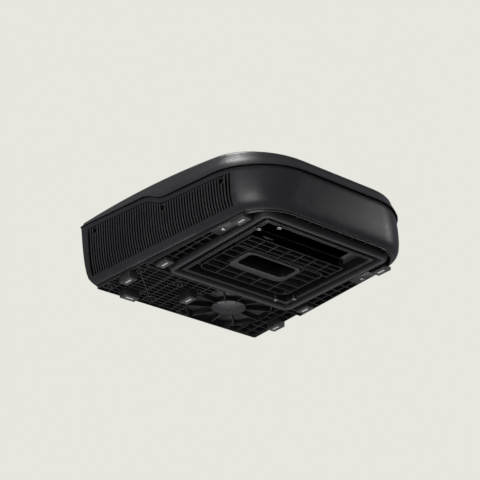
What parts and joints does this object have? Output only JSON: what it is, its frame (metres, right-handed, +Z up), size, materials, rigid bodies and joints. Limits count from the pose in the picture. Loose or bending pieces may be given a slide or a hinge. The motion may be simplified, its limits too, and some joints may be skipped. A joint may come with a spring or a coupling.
{
  "type": "rooftop air conditioner",
  "caption": "Low vehicle rooftop air conditioner seen from the roof side: dark shell with louvred sides, ribbed base, square seal and air duct openings around a supply outlet.",
  "frame": {"origin": "centre of the square roof opening, on the roof plane that the pads and the seal stand on", "axes": "+Z up and away from the roof, -Y to the rounded front end, +Y to the condenser end, +X to the right seen from above with the front down"},
  "size_m": [0.7234, 0.8099, 0.2478],
  "materials": {
    "shell_plastic": "fine-grained satin moulding",
    "lid_plastic": "satin moulding",
    "tray_plastic": "moulded, low sheen",
    "foam_seal": "soft closed-cell seal",
    "pad_rubber": "moulded pad",
    "duct_foam": "moulded foam",
    "zinc_plate": "galvanised",
    "bright_steel": "zinc plated",
    "fin_aluminium": "thin sheet",
    "copper_tube": "drawn copper tube",
    "fan_plastic": "moulded",
    "wheel_plastic": "moulded",
    "motor_steel": "painted",
    "compressor_paint": "gloss black paint",
    "mount_rubber": "soft rubber",
    "board_green": "coated board",
    "terminal_white": "moulded",
    "liner_foam": "foam sheet"
  },
  "bodies": {
    "unit": {"base_tray": "tray_plastic", "air_guide": "tray_plastic", "vent_ring": "tray_plastic", "roof_seal": "foam_seal", "spacer_pads": "pad_rubber", "clamp_inserts": "bright_steel", "mid_shell": "shell_plastic", "left_louvres": "shell_plastic", "right_louvres": "shell_plastic", "rear_grille": "shell_plastic", "lid": "lid_plastic", "lid_liner": "liner_foam", "lid_catches": "shell_plastic", "lid_screws": "bright_steel", "tray_screws": "bright_steel", "cable_gland": "tray_plastic", "supply_duct": "duct_foam", "bulkhead": "zinc_plate", "drip_pan": "zinc_plate", "evaporator_fins": "fin_aluminium", "evaporator_tubes": "copper_tube", "evaporator_case": "duct_foam", "blower_scroll": "fan_plastic", "blower_motor": "motor_steel", "condenser_fins": "fin_aluminium", "condenser_tubes": "copper_tube", "fan_shroud": "fan_plastic", "fan_motor": "motor_steel", "motor_bracket": "zinc_plate", "compressor": "compressor_paint", "compressor_cradle": "zinc_plate", "rubber_mounts": "mount_rubber", "mount_bolts": "bright_steel", "accumulator": "compressor_paint", "suction_pipe": "copper_tube", "discharge_pipe": "copper_tube", "liquid_pipe": "copper_tube", "capillary_coil": "copper_tube", "filter_drier": "copper_tube", "control_box": "zinc_plate", "control_box_cover": "zinc_plate", "control_board": "board_green", "run_capacitor": "fin_aluminium", "terminal_block": "terminal_white", "air_sensor": "copper_tube"},
    "condenser_rotor": {"condenser_fan": "fan_plastic", "fan_shaft": "bright_steel"},
    "blower_rotor": {"blower_wheel": "wheel_plastic", "blower_shaft": "bright_steel"}
  },
  "joints": [
    {"name": "condenser_fan_spin", "type": "hinge", "parent": "unit", "child": "condenser_rotor", "pos_m": [0.108, 0.37, 0.104], "axis": [0, 0, 1], "continuous": true},
    {"name": "blower_spin", "type": "hinge", "parent": "unit", "child": "blower_rotor", "pos_m": [-0.018, 0.067, 0.107], "axis": [1, 0, 0], "continuous": true}
  ]
}
